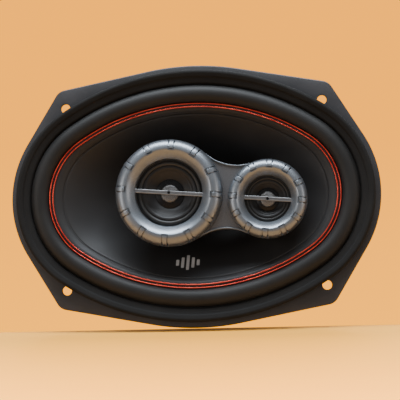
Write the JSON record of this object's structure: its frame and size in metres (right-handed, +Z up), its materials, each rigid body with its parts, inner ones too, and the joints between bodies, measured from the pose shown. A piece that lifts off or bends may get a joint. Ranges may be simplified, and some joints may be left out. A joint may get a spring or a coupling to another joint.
{
  "type": "coaxial car speaker",
  "caption": "Oval coaxial car speaker: a large cone in a windowed basket with four ears, a post, and a twin-ring pod holding a midrange and a tweeter.",
  "frame": {"origin": "centre of the four screw holes on the flange's back face, on the woofer's sound axis", "axes": "-Y is the front, towards the listener; +X runs along the long axis to the tweeter side; +Z is up"},
  "size_m": [0.236, 0.0948, 0.168],
  "materials": {
    "basket_paint": "satin",
    "gasket_foam": "matte",
    "surround_rubber": "satin",
    "cone_black": "satin",
    "trim_red": "metallic gloss",
    "former_film": "satin",
    "copper_wire": "satin",
    "spider_cloth": "matte",
    "tinsel_braid": "satin",
    "board_black": "matte",
    "tab_brass": "satin",
    "tab_tin": "satin",
    "rivet_steel": "satin",
    "plate_zinc": "satin",
    "ferrite_grey": "matte",
    "boot_rubber": "matte",
    "post_black": "satin",
    "pod_black": "satin",
    "bridge_grey": "fine texture",
    "bezel_silver": "metallic satin",
    "bar_silver": "satin",
    "frame_black": "satin",
    "small_surround": "satin",
    "small_cone_black": "satin",
    "cap_black": "gloss",
    "dot_silver": "fine texture",
    "magnet_nickel": "satin",
    "capacitor_sleeve": "gloss",
    "wire_red": "satin"
  },
  "bodies": {
    "frame": {"basket_frame": "basket_paint", "gasket_ring": "gasket_foam", "surround": "surround_rubber", "spider": "spider_cloth", "tinsel_leads": "tinsel_braid", "terminal_board": "board_black", "positive_terminal": "tab_brass", "negative_terminal": "tab_tin", "terminal_rivets": "rivet_steel", "top_plate": "plate_zinc", "ferrite_magnet": "ferrite_grey", "pole_yoke": "plate_zinc", "magnet_boot": "boot_rubber", "basket_rivets": "rivet_steel", "centre_post": "post_black", "post_screws": "rivet_steel", "pod_base": "pod_black", "bridge_plate": "bridge_grey", "midrange_bezel": "bezel_silver", "tweeter_bezel": "bezel_silver", "midrange_bar": "bar_silver", "tweeter_bar": "bar_silver", "midrange_frame": "frame_black", "midrange_surround": "small_surround", "midrange_plate": "plate_zinc", "midrange_magnet": "magnet_nickel", "midrange_yoke": "plate_zinc", "tweeter_frame": "frame_black", "tweeter_surround": "small_surround", "tweeter_plate": "plate_zinc", "tweeter_magnet": "magnet_nickel", "tweeter_yoke": "plate_zinc", "crossover_capacitors": "capacitor_sleeve", "feed_wires": "wire_red", "pod_wires": "wire_red"},
    "woofer_diaphragm": {"woofer_cone": "cone_black", "trim_ring": "trim_red", "voice_coil_former": "former_film", "voice_coil": "copper_wire"},
    "midrange_diaphragm": {"midrange_cone": "small_cone_black", "midrange_cap": "cap_black", "midrange_dot": "dot_silver", "midrange_coil": "copper_wire"},
    "tweeter_diaphragm": {"tweeter_cone": "small_cone_black", "tweeter_cap": "cap_black", "tweeter_dot": "dot_silver", "tweeter_coil": "copper_wire"}
  },
  "joints": [
    {"name": "woofer_excursion", "type": "slide", "parent": "frame", "child": "woofer_diaphragm", "axis": [0, -1, 0], "range_m": [-0.004, 0.004], "stiffness_N_per_m": 1500, "deforming": ["surround", "spider", "tinsel_leads"]},
    {"name": "midrange_excursion", "type": "slide", "parent": "frame", "child": "midrange_diaphragm", "axis": [0, -1, 0], "range_m": [-0.0005, 0.0005], "stiffness_N_per_m": 500, "deforming": ["midrange_surround"]},
    {"name": "tweeter_excursion", "type": "slide", "parent": "frame", "child": "tweeter_diaphragm", "axis": [0, -1, 0], "range_m": [-0.00025, 0.00025], "stiffness_N_per_m": 300, "deforming": ["tweeter_surround"]}
  ]
}
